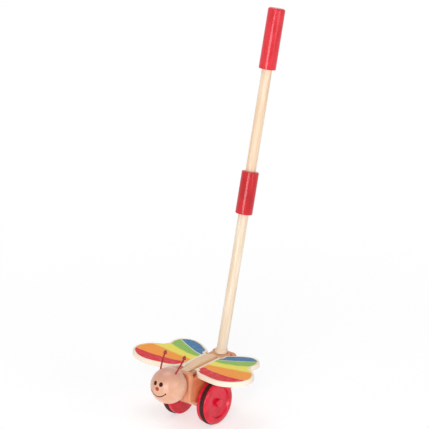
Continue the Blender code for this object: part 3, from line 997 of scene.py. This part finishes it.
@dataclass
class Head:
    """The turned ball, its printed face, and the two antennae.

    Places on the face are measured from the ball's centre and then moved onto its skin.
    """

    shop: Workshop
    ball_facets: int = 96
    ball_steps: int = 64
    dowel_clearance: float = 0.3 * MM
    stalk_coat: float = 0.2 * MM
    antenna_sharp: float = 60
    eye_place: Vector = field(default_factory=lambda: Vector((4.9, -22.4, 10.0)) * MM)
    eye_size: Point2 = (2.9 * MM, 3.2 * MM)
    nose_place: Vector = field(default_factory=lambda: Vector((0.0, -24.8, 3.3)) * MM)
    nose_size: Point2 = (3.2 * MM, 2.8 * MM)
    smile_half_width: float = 12.2 * MM
    smile_low: float = -8.4 * MM
    smile_rise: float = 5.9 * MM
    smile_line: float = 1.6 * MM
    smile_steps: int = 48
    smile_taper_share: float = 0.45
    smile_blunt_share: float = 0.15
    tick_length: float = 2.6 * MM
    tick_lean_shares: Point2 = (0.45, 0.9)
    ink_height: float = 0.06 * MM
    ink_sunk: float = 0.02 * MM
    radius: float = field(init=False)
    centre: Vector = field(init=False)
    flat: float = field(init=False)

    def build(self) -> None:
        """Build the ball, the face and the antennae."""
        low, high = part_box("head")
        self.radius = (high.x - low.x) / 2
        self.centre = Vector(((low.x + high.x) / 2, low.y + self.radius, (low.z + high.z) / 2))
        self.flat = high.y - self.centre.y
        self._build_ball()
        for side, sign in SIDES:
            place = Vector((sign * self.eye_place.x, self.eye_place.y, self.eye_place.z))
            self._build_spot("eye_" + side, place, self.eye_size, "eye_ink")
            self.shop.dress_copy(
                "antenna_stalk_" + side, "stalk_lacquer", self.antenna_sharp, self.stalk_coat)
            self.shop.dress_copy("antenna_bead_" + side, "bead_lacquer", self.antenna_sharp)
        self._build_spot("nose", self.nose_place, self.nose_size, "nose_ink")
        self._build_smile()

    def _build_ball(self) -> None:
        """Spin the ball with its planed back and dowel hole."""
        lathe = Lathe(self.shop, self.centre, ALONG, self.ball_facets)
        dowel = lathe.measure("head_dowel")
        bore = dowel.radius + self.dowel_clearance
        bore_end = dowel.start - self.dowel_clearance
        planed = math.degrees(math.asin(self.flat / self.radius))
        first = -90 + 90 / self.ball_steps
        profile = [(0.0, -self.radius)]
        profile += arc((0.0, 0.0), self.radius, first, planed, self.ball_steps)
        profile += [(bore, self.flat), (bore, bore_end), (0.0, bore_end)]
        lathe.turn(profile, "head", "ball_beech")

    def _on_ball(self, place: Vector) -> Vector:
        """Move a point onto the top of the ink, and from the ball's centre to the toy's frame."""
        return self.centre + place.normalized() * (self.radius + self.ink_height)

    def _build_spot(self, name: str, place: Vector, size: Point2, finish: str) -> None:
        """Print an oval spot that follows the ball.

        Args:
            name: name of the piece.
            place: its middle.
            size: half its width and half its height.
            finish: name of its ink.
        """
        shape = bmesh.new()
        bmesh.ops.create_circle(shape, cap_ends=True, cap_tris=True, segments=32, radius=1.0)
        bmesh.ops.subdivide_edges(shape, edges=shape.edges, cuts=2, use_grid_fill=True)
        outward = place.normalized()
        right = ACROSS - outward * ACROSS.dot(outward)
        right.normalize()
        upward = right.cross(outward)
        for vertex in shape.verts:
            spread = place + right * vertex.co.x * size[0] + upward * vertex.co.y * size[1]
            vertex.co = self._on_ball(spread)
        self._print(shape, name, finish)

    def _build_smile(self) -> None:
        """Print the mouth as a thin curved line with a short tick at each end."""
        middle = []
        for step in range(self.smile_steps + 1):
            share = 2 * step / self.smile_steps - 1
            out = share * self.smile_half_width
            high = self.smile_low + self.smile_rise * share ** 2
            front = -math.sqrt(self.radius ** 2 - out ** 2 - high ** 2)
            middle.append(Vector((out, front, high)))
        self._build_line("smile", middle)
        inward, upward = self.tick_lean_shares
        for side, sign in SIDES:
            corner = middle[-1] if sign > 0 else middle[0]
            lean = Vector((-sign * inward, 0, upward)) * self.tick_length / 2
            self._build_line("smile_tick_" + side, [corner - lean, corner, corner + lean])

    def _build_line(self, name: str, middle: Sequence[Vector]) -> None:
        """Print a line on the ball that thins a little towards both ends.

        Args:
            name: name of the piece.
            middle: points along the line.
        """
        last = len(middle) - 1
        blunt = self.smile_blunt_share
        shape = bmesh.new()
        bmesh.ops.create_grid(shape, x_segments=last, y_segments=2, size=1.0)
        for vertex in shape.verts:
            step = round((vertex.co.x + 1) / 2 * last)
            ahead = middle[min(step + 1, last)]
            behind = middle[max(step - 1, 0)]
            sideways = middle[step].cross(ahead - behind).normalized()
            swell = math.sin(math.pi * (blunt + (1 - 2 * blunt) * step / last))
            thin = 1 - self.smile_taper_share * (1 - swell)
            spread = middle[step] + sideways * vertex.co.y * thin * self.smile_line / 2
            vertex.co = self._on_ball(spread)
        self._print(shape, name, "line_ink")

    def _print(self, shape: Shape, name: str, finish: str) -> None:
        """Give a printed patch its thickness and publish it on the head.

        Args:
            shape: the patch, one face thick.
            name: name of the piece.
            finish: name of its ink.
        """
        bmesh.ops.recalc_face_normals(shape, faces=shape.faces)
        if shape.faces[:][0].normal.dot(-ALONG) < 0:
            bmesh.ops.reverse_faces(shape, faces=shape.faces)
        bmesh.ops.solidify(shape, geom=shape.faces[:], thickness=self.ink_height + self.ink_sunk)
        bmesh.ops.recalc_face_normals(shape, faces=shape.faces)
        self.shop.publish(shape, name, "head", [finish], replaces=False)


@dataclass
class Wheel:
    """One lacquered wheel with its rubber ring, washer and hub cap.

    Distances run outwards along the axle, from the middle of the toy.
    """

    shop: Workshop
    side: str
    sign: int
    facets: int = 128
    curve_steps: int = 16
    shoulder_depth: float = 3.6 * MM
    shoulder_inset: float = 6.5 * MM
    dish_radius: float = 22.5 * MM
    dish_slope: float = 2.2 * MM
    dish_depth: float = 3.4 * MM
    clearance: float = 0.3 * MM
    inner_ease: float = 1.0 * MM
    groove_ease: float = 0.35 * MM
    tyre_ease: float = 1.1 * MM
    washer_ease: float = 0.3 * MM
    cap_rim_share: float = 1 / 3
    cap_steps: int = 12
    lathe: Lathe = field(init=False)
    wheel: Span = field(init=False)

    def build(self) -> None:
        """Build the wheel and what goes with it."""
        axle = self.shop.joint_place(f"wheel_{self.side}_spin")
        self.lathe = Lathe(self.shop, Vector((0, axle.y, axle.z)), self.sign * ACROSS, self.facets)
        self.wheel = self.lathe.measure(f"wheel_{self.side}")
        self._build_wheel()
        washer = f"axle_washer_{self.side}"
        self.lathe.turn_eased(f"tyre_{self.side}", "tyre_rubber", self.tyre_ease, BIG_EASE_STEPS)
        self.lathe.turn_eased(washer, "washer_nylon", self.washer_ease, SMALL_EASE_STEPS)
        self._build_cap()

    def _build_wheel(self) -> None:
        """Turn the wheel: inner face, groove, tread, the big soft shoulder and the dish in its face."""
        start, end, rim = self.wheel.start, self.wheel.end, self.wheel.radius
        tyre = self.lathe.measure(f"tyre_{self.side}")
        groove_start = tyre.start - self.clearance
        groove_end = tyre.end + self.clearance
        groove_floor = tyre.bore - self.clearance
        inner, lip = self.inner_ease, self.groove_ease
        profile = [(self.wheel.bore, start)]
        profile += arc((rim - inner, start + inner), inner, -90, 0, BIG_EASE_STEPS)
        profile += arc((rim - lip, groove_start - lip), lip, 0, 90, SMALL_EASE_STEPS)
        profile += [(groove_floor, groove_start), (groove_floor, groove_end)]
        profile += arc((rim - lip, groove_end + lip), lip, -90, 0, SMALL_EASE_STEPS)
        for step in range(self.curve_steps + 1):
            angle = math.radians(90) * step / self.curve_steps
            inset = self.shoulder_inset * (1 - math.cos(angle))
            drop = self.shoulder_depth * (1 - math.sin(angle))
            profile.append((rim - inset, end - drop))
        for step in range(self.curve_steps + 1):
            share = step / self.curve_steps
            drop = self.dish_depth * (1 - math.cos(math.pi * share)) / 2
            profile.append((self.dish_radius - self.dish_slope * share, end - drop))
        dish_floor = end - self.dish_depth
        half_way = (self.dish_radius - self.dish_slope) / 2
        profile += [(half_way, dish_floor), (self.wheel.bore, dish_floor)]
        self.lathe.turn(profile, f"wheel_{self.side}", "wheel_lacquer", ring=True)

    def _build_cap(self) -> None:
        """Turn the domed cap that covers the end of the axle, down to just above the floor of the dish."""
        cap = f"axle_cap_{self.side}"
        span = self.lathe.measure(cap)
        bore = self.wheel.bore
        bore_end = self.lathe.measure("axle").end + self.clearance
        foot = self.wheel.end - self.dish_depth + self.clearance
        rim = (span.end - span.start) * self.cap_rim_share
        profile = [(0.0, bore_end), (bore, bore_end), (bore, foot), (span.radius, foot)]
        for step in range(self.cap_steps):
            angle = math.radians(90) * step / self.cap_steps
            dome = (span.end - span.start - rim) * math.sin(angle)
            profile.append((span.radius * math.cos(angle), span.start + rim + dome))
        profile.append((0.0, span.end))
        self.lathe.turn(profile, cap, "wheel_lacquer")


@dataclass
class Wing:
    """One plywood wing: sawn outline, rounded edges, round root and painted top.

    It is made in its own frame, with the hinge along Y through zero and the tip at +X, and is then
    turned onto its side of the toy. The outline's shares are of the wing's reach, and of its length
    in front of the axle or behind it. A face is veneer, or the top, if its normal is upright enough.
    """

    shop: Workshop
    side: str
    sign: int
    thickness: float = 7.0 * MM
    fore: float = 37.7 * MM
    aft: float = 59.7 * MM
    root_front: float = 18.0 * MM
    root_rear: float = 35.2 * MM
    root_gap: float = 0.3 * MM
    rod_bore: float = 1.55 * MM
    bore_overrun: float = 2 * MM
    bore_facets: int = 32
    edge_round: float = 1.6 * MM
    paint_margin: float = 2.4 * MM
    dihedral: float = math.radians(3.3)
    knuckle_round_share: float = 0.98
    knuckle_steps: int = 10
    edge_steps: int = 4
    edge_corner: float = math.radians(60)
    outline_steps: int = 6
    sharp: float = 40
    veneer_upright: float = 0.9
    top_upright: float = 0.99
    fore_shares: tuple[Point2, ...] = (
        (0.075, -0.63), (0.115, -0.70), (0.17, -0.775), (0.26, -0.84), (0.36, -0.90), (0.46, -0.96),
        (0.59, -1.00), (0.73, -0.955), (0.86, -0.81), (0.965, -0.57), (1.00, -0.21), (0.94, 0.10),
        (0.83, 0.265), (0.74, 0.345), (0.68, 0.49),
    )
    hind_shares: tuple[Point2, ...] = (
        (0.68, 0.49), (0.70, 0.645), (0.665, 0.83), (0.575, 0.945), (0.465, 1.00), (0.355, 0.98),
        (0.255, 0.93), (0.165, 0.855), (0.095, 0.79), (0.052, 0.735),
    )
    hinge: Vector = field(init=False)
    reach: float = field(init=False)

    def build(self) -> None:
        """Saw, paint and drill the wing, and hang it on its hinge."""
        node = "wing_" + self.side
        hinge = self.shop.joint_place(f"wing_{self.side}_flap")
        axle = self.shop.joint_place(f"wheel_{self.side}_spin")
        self.hinge = Vector((hinge.x, axle.y, hinge.z))
        low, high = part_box(node)
        tip = max(abs(low.x), abs(high.x))
        self.reach = (tip - abs(self.hinge.x)) / math.cos(self.dihedral)
        blank = self._sawn_blank()
        self._paint_top(blank)
        shape = self.shop.drill(blank, self._bore())
        self._mark_bore(shape)
        tilt = Matrix.Rotation(-self.sign * self.dihedral, 4, "Y")
        flip = Matrix.Scale(self.sign, 4, ACROSS)
        shape.transform(Matrix.Translation(self.hinge) @ tilt @ flip)
        bmesh.ops.recalc_face_normals(shape, faces=shape.faces)
        finishes = ["wing_" + kind.name.lower() for kind in WingFace]
        self.shop.even_shading(
            self.shop.publish(shape, node + "_finished", node, finishes, sharp=self.sharp))

    def _placed(self, shares: Sequence[Point2]) -> list[Point2]:
        """Turn shares of the outline into distances from the hinge and the axle."""
        return [(out * self.reach, along * (self.fore if along < 0 else self.aft)) for out, along in shares]

    def _outline(self) -> list[Vector]:
        """Edge of the wing, from the front of the root round to its rear.

        Returns:
            Its corners.
        """
        root = self.thickness / 2 + self.root_gap
        knuckle = -self.thickness / 2
        fore = smooth_path([(root, -self.root_front), *self._placed(self.fore_shares)], self.outline_steps)
        hind = smooth_path([*self._placed(self.hind_shares), (root, self.root_rear)], self.outline_steps)
        outline = [(knuckle, -self.root_front), *fore[:-1], *hind, (knuckle, self.root_rear)]
        return [Vector((out, along, 0)) for out, along in outline]

    def _sawn_blank(self) -> Shape:
        """Saw the outline from sheet, round its root into a knuckle and ease its other edges.

        Returns:
            The wing without its bore and paint.
        """
        half = self.thickness / 2
        shape = bmesh.new()
        sheet = shape.faces.new([shape.verts.new(point - UP * half) for point in self._outline()])
        raised = bmesh.ops.extrude_face_region(shape, geom=[sheet])
        lifted = [item for item in raised["geom"] if isinstance(item, bmesh.types.BMVert)]
        bmesh.ops.translate(shape, verts=lifted, vec=UP * self.thickness)
        bmesh.ops.recalc_face_normals(shape, faces=shape.faces)
        root = [
            edge for edge in shape.edges
            if all(vertex.co.x < -half + MERGE_DISTANCE for vertex in edge.verts)
            and abs(edge.verts[0].co.z - edge.verts[1].co.z) < MERGE_DISTANCE
        ]
        bmesh.ops.bevel(
            shape, geom=root, offset=half * self.knuckle_round_share, offset_type="OFFSET", affect="EDGES",
            segments=self.knuckle_steps, profile=0.5, material=-1)
        rim = [
            edge for edge in shape.edges
            if len(edge.link_faces) == 2 and edge.calc_face_angle(0) > self.edge_corner
            and min(abs(abs(vertex.co.z) - half) for vertex in edge.verts) < MERGE_DISTANCE
            and all(vertex.co.x > half / 2 for vertex in edge.verts)
        ]
        bmesh.ops.bevel(
            shape, geom=rim, offset=self.edge_round, offset_type="OFFSET", affect="EDGES",
            segments=self.edge_steps, profile=0.5, material=-1, clamp_overlap=True)
        return shape

    def _bore(self) -> Shape:
        """Shape of the hole for the hinge rod.

        Returns:
            A rod that stands out at both ends of the root.
        """
        start = -self.root_front - self.bore_overrun
        end = self.root_rear + self.bore_overrun
        profile = [(0.0, start), (self.rod_bore, start), (self.rod_bore, end), (0.0, end)]
        shape = spin_profile(profile, self.bore_facets, ring=False)
        shape.transform(facing(Vector((0, 0, 0)), ALONG))
        return shape

    def _paint_top(self, shape: Shape) -> None:
        """Mark the painted field inside a bare margin, and the sawn edge.

        Args:
            shape: the sawn wing.
        """
        half = self.thickness / 2
        for face in shape.faces:
            is_veneer = abs(face.normal.z) > self.veneer_upright
            face.material_index = WingFace.VENEER if is_veneer else WingFace.EDGE
        top = max(
            (face for face in shape.faces
             if face.normal.z > self.top_upright and face.calc_center_median().z > half * 0.9),
            key=lambda face: face.calc_area())
        bmesh.ops.inset_region(shape, faces=[top], thickness=self.paint_margin, use_even_offset=True)
        top.material_index = WingFace.PAINT

    def _mark_bore(self, shape: Shape) -> None:
        """Give the wall of the bore the finish of the sawn edge.

        Args:
            shape: the drilled wing.
        """
        for face in shape.faces:
            middle = face.calc_center_median()
            if math.hypot(middle.x, middle.z) < self.rod_bore * 1.05 and abs(face.normal.y) < 0.5:
                face.material_index = WingFace.EDGE


@dataclass
class Stick:
    """The collar, the two rods, the connector sleeve and the grip."""

    shop: Workshop
    facets: int = 96
    end_ease: float = 0.5 * MM
    sleeve_ease: float = 1.5 * MM
    grip_top_round: float = 3.0 * MM
    grip_top_steps: int = 10
    clearance: float = 0.3 * MM
    lathe: Lathe = field(init=False)

    def build(self) -> None:
        """Turn every piece along the stick's own axis, which starts at the grip's end."""
        self.lathe = Lathe(self.shop, *self.shop.mount("grip_end"), self.facets)
        for rod in ("lower_rod", "upper_rod"):
            self.lathe.turn_eased(rod, "rod_beech_" + rod, self.end_ease, SMALL_EASE_STEPS, ring=False)
        self.lathe.turn_eased("connector_sleeve", "sleeve_lacquer", self.sleeve_ease, BIG_EASE_STEPS)
        self._build_grip()
        self.shop.dress_copy("stick_collar", "rod_beech_lower_rod")

    def _build_grip(self) -> None:
        """Turn the grip, closed at its end and drilled for the upper rod as the sleeve is."""
        span = self.lathe.measure("grip")
        bore = self.lathe.measure("connector_sleeve").bore
        bore_end = self.lathe.measure("upper_rod").end + self.clearance
        bottom, top = self.sleeve_ease, self.grip_top_round
        profile = [(0.0, bore_end), (bore, bore_end), (bore, span.start)]
        profile += arc((span.radius - bottom, span.start + bottom), bottom, -90, 0, BIG_EASE_STEPS)
        profile += arc((span.radius - top, span.end - top), top, 0, 90, self.grip_top_steps)
        profile.append((0.0, span.end))
        self.lathe.turn(profile, "grip", "grip_lacquer")


@dataclass(frozen=True)
class Softbox:
    """One large round lamp behind white cloth, with its width in metres and its power in watts."""

    name: str
    place: Point3
    width: float
    power: float
    aim_height: float = 0.1

    def hang(self) -> None:
        """Hang the lamp and turn it to the height that it aims at, over the middle of the floor."""
        data = bpy.data.lights.new(self.name, "AREA")
        data.shape = "DISK"
        data.size = self.width
        data.energy = self.power
        lamp = stand(self.name, data)
        lamp.location = self.place
        beam = Vector((0, 0, self.aim_height)) - Vector(self.place)
        lamp.rotation_euler = beam.to_track_quat("-Z", "Y").to_euler()


@dataclass
class Studio:
    """White floor, soft lamps, white surround and the camera.

    What lights the toy and what the eye sees of the set are separate: a floor and a surround that
    light it are darker than the white ones that show, directly or in a gloss.
    """

    axle: Vector
    aim_from_axle: Vector = field(default_factory=lambda: Vector((0, -4.3, 3.3)) * MM)
    camera_direction: Vector = field(default_factory=lambda: Vector((0.5763, -0.71392, 0.39774)))
    camera_distance: float = 4.0044
    camera_turn: float = math.radians(38.4799)
    camera_pitch: float = math.radians(19.8694)
    camera_roll: float = math.radians(-0.237)
    camera_sight: float = 50.0
    lens_mm: float = 242.744
    sensor_mm: float = 36.0
    floor_size: float = 12.0
    shadow_reach: Point2 = (0.25, 0.8)
    paper: str = "#ebebeb"
    paper_light: float = 0.32
    shaded: Colour = (0.55, 0.55, 0.55, 1)
    shaded_light: float = 0.57
    surround: str = "#f6f7fb"
    surround_light: float = 0.47
    softboxes: tuple[Softbox, ...] = (
        Softbox("front_softbox", (0.9, -2.5, 0.65), 1.2, 19),
        Softbox("camera_softbox", (1.6, -2.3, 1.65), 0.6, 12),
        Softbox("side_softbox", (2.3, -0.2, 0.9), 1.4, 9, 0.08),
        Softbox("top_softbox", (-0.6, 0.2, 2.6), 1.6, 15),
    )

    def build(self) -> None:
        """Set up everything round the toy."""
        self._build_camera()
        self._build_floor()
        self._build_world()
        for softbox in self.softboxes:
            softbox.hang()
        bpy.context.scene.view_settings.view_transform = "Standard"

    def _build_camera(self) -> None:
        """Place a long lens where the photograph was taken from."""
        data = bpy.data.cameras.new("camera")
        data.lens = self.lens_mm
        data.sensor_width = self.sensor_mm
        data.clip_end = self.camera_sight
        camera = stand("camera", data)
        aim = self.axle + self.aim_from_axle
        camera.location = aim + self.camera_direction.normalized() * self.camera_distance
        level = Euler((math.radians(90) - self.camera_pitch, 0, self.camera_turn)).to_matrix()
        camera.rotation_euler = (level @ Matrix.Rotation(self.camera_roll, 3, "Z")).to_euler()
        bpy.context.scene.camera = camera

    def _build_floor(self) -> None:
        """Lay a seamless white floor that keeps a faint shadow near the toy."""
        shape = bmesh.new()
        bmesh.ops.create_grid(shape, x_segments=1, y_segments=1, size=self.floor_size)
        mesh = mesh_of("floor", shape)
        mesh.materials.append(self._make_paper())
        floor = stand("floor", mesh)

    def _make_paper(self) -> bpy.types.Material:
        """Make the floor's paper: matt white, which fades to pure white away from the toy.

        Returns:
            The material.
        """
        material = bpy.data.materials.new("white_seamless_paper")
        material.use_nodes = True
        tree = material.node_tree
        tree.nodes.clear()
        sheet = add_node(tree, "ShaderNodeBsdfDiffuse", {"Color": linear(self.paper)})
        lit = add_node(tree, "ShaderNodeEmission", {"Color": WHITE, "Strength": self.paper_light})
        lighting = add_node(tree, "ShaderNodeAddShader", {0: sheet.outputs[0], 1: lit.outputs[0]})
        matt = add_node(tree, "ShaderNodeBsdfDiffuse", {"Color": self.shaded})
        glow = add_node(tree, "ShaderNodeEmission", {"Color": WHITE, "Strength": self.shaded_light})
        shadowed = add_node(tree, "ShaderNodeAddShader", {0: matt.outputs[0], 1: glow.outputs[0]})
        white = add_node(tree, "ShaderNodeEmission", {"Color": WHITE, "Strength": 1.0})
        coordinates = add_node(tree, "ShaderNodeTexCoord")
        away = add_node(
            tree, "ShaderNodeVectorMath", {0: coordinates.outputs["Object"]}, operation="LENGTH")
        near, far = self.shadow_reach
        fade = add_node(
            tree, "ShaderNodeMapRange",
            {"Value": away.outputs["Value"], "From Min": near, "From Max": far, "To Min": 0.0, "To Max": 1.0},
            interpolation_type="SMOOTHSTEP")
        shown = add_node(
            tree, "ShaderNodeMixShader",
            {0: fade.outputs["Result"], 1: shadowed.outputs[0], 2: white.outputs[0]})
        surface = add_node(
            tree, "ShaderNodeMixShader",
            {0: self._is_shown(tree), 1: lighting.outputs[0], 2: shown.outputs[0]})
        add_node(tree, "ShaderNodeOutputMaterial", {"Surface": surface.outputs[0]})
        return material

    def _build_world(self) -> None:
        """Surround the set with white that also fills the shadows."""
        world = bpy.data.worlds.new("white_surround")
        bpy.context.scene.world = world
        world.use_nodes = True
        tree = world.node_tree
        tree.nodes.clear()
        fill = add_node(
            tree, "ShaderNodeBackground", {"Color": linear(self.surround), "Strength": self.surround_light})
        white = add_node(tree, "ShaderNodeBackground", {"Color": WHITE, "Strength": 1.0})
        surface = add_node(
            tree, "ShaderNodeMixShader", {0: self._is_shown(tree), 1: fill.outputs[0], 2: white.outputs[0]})
        add_node(tree, "ShaderNodeOutputWorld", {"Surface": surface.outputs[0]})

    @staticmethod
    def _is_shown(tree: Tree) -> Socket:
        """Tell rays that show the set, directly or in a gloss, from rays that only light the toy.

        Args:
            tree: node tree that takes the nodes.

        Returns:
            Socket with 1 for a ray that shows the set, and 0 for one that lights.
        """
        path = add_node(tree, "ShaderNodeLightPath")
        shown = path.outputs["Is Camera Ray"]
        for kind in ("Is Glossy Ray", "Is Transmission Ray"):
            either = add_node(tree, "ShaderNodeMath", {0: shown, 1: path.outputs[kind]}, operation="MAXIMUM")
            shown = either.outputs[0]
        return shown


def make_finishes(shop: Workshop) -> None:
    """Make every finish of the toy.

    Args:
        shop: the workshop that holds them.
    """
    hinge = shop.joint_place("wing_left_flap")
    low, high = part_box("wing_left")
    ball_low, ball_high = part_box("head")
    # Painted shade that darkens the top of the ball, from 24 mm above its bottom up to its top.
    painted_top_shade_heights = (ball_low.z + 24 * MM, ball_high.z)
    shop.add_finishes((
        Beech("spine_beech", "#f5d5b1", "#e7b78d"),
        Beech("block_beech", "#e8b48a", "#d8966c"),
        # Plate and side beech: beech colour with a painted red-orange reflection of the wheels mixed in.
        Beech("plate_beech", "#e99f76", "#d6875e", grain=Grain.UPRIGHT),
        Beech("side_beech", "#ea8a5e", "#db7449"),
        Beech("ball_beech", "#ebb595", "#dfa282", "#c98d6a", ray_share=0.25, ring_mm=7.0, roughness=0.42,
              coat=0.7, painted_top_shade_heights=painted_top_shade_heights),
        Beech("rod_beech_lower_rod", "#f8e9d6", "#edd5b4", "#d6b38a", Grain.ALONG_STICK, ray_share=0.2,
              ring_mm=2.6, roughness=0.5),
        Beech("rod_beech_upper_rod", "#f8e2c8", "#edcba5", "#dcb388", Grain.ALONG_STICK, ray_share=0.2,
              ring_mm=2.6, roughness=0.5),
        BirchVeneer("wing_veneer"),
        PlyEdge("wing_edge", hinge.z, abs(hinge.x), math.tan(Wing.dihedral)),
        RainbowPaint("wing_paint", abs(hinge.x), abs(high.x) - abs(hinge.x), low.y, high.y),
        GlossLacquer("wheel_lacquer", "#e1183a", "#cc0f2c"),
        GlossLacquer("grip_lacquer", "#e52c3a", "#d61a28", Grain.ALONG_STICK, 0.16),
        GlossLacquer("sleeve_lacquer", "#d21d26", "#c0111a", Grain.ALONG_STICK, 0.16),
        GlossLacquer("stalk_lacquer", "#b01420", "#8c0e16", Grain.UPRIGHT, 0.12),
        GlossLacquer("bead_lacquer", "#a8361c", "#832410", Grain.UPRIGHT, 0.12),
        Rubber("tyre_rubber"),
        Rubber("spacer_gum_rubber", "#c98f6f", "#d49d7e"),
        DrawnSteel("rod_steel"),
        DrawnSteel("axle_steel", Grain.ACROSS_TOY),
        Nylon("washer_nylon"),
        PrintedInk("eye_ink", "#40150a", "#4d1e10"),
        PrintedInk("line_ink", "#3d1405", "#5c2a14"),
        PrintedInk("nose_ink", "#bb4630", "#c85c43"),
    ))


def main() -> None:
    """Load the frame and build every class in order."""
    logging.basicConfig(level=logging.INFO, format="%(name)s: %(message)s")
    shop = Workshop(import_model())
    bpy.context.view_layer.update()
    make_finishes(shop)
    axle = shop.joint_place("wheel_left_spin")
    Studio(Vector((0, axle.y, axle.z))).build()
    Body(shop).build()
    Head(shop).build()
    for side, sign in SIDES:
        Wheel(shop, side, sign).build()
        Wing(shop, side, sign).build()
    shop.dress_node("axle", "axle_steel")
    Stick(shop).build()
    LOG.info("every piece is built")


if __name__ == "__main__":
    main()
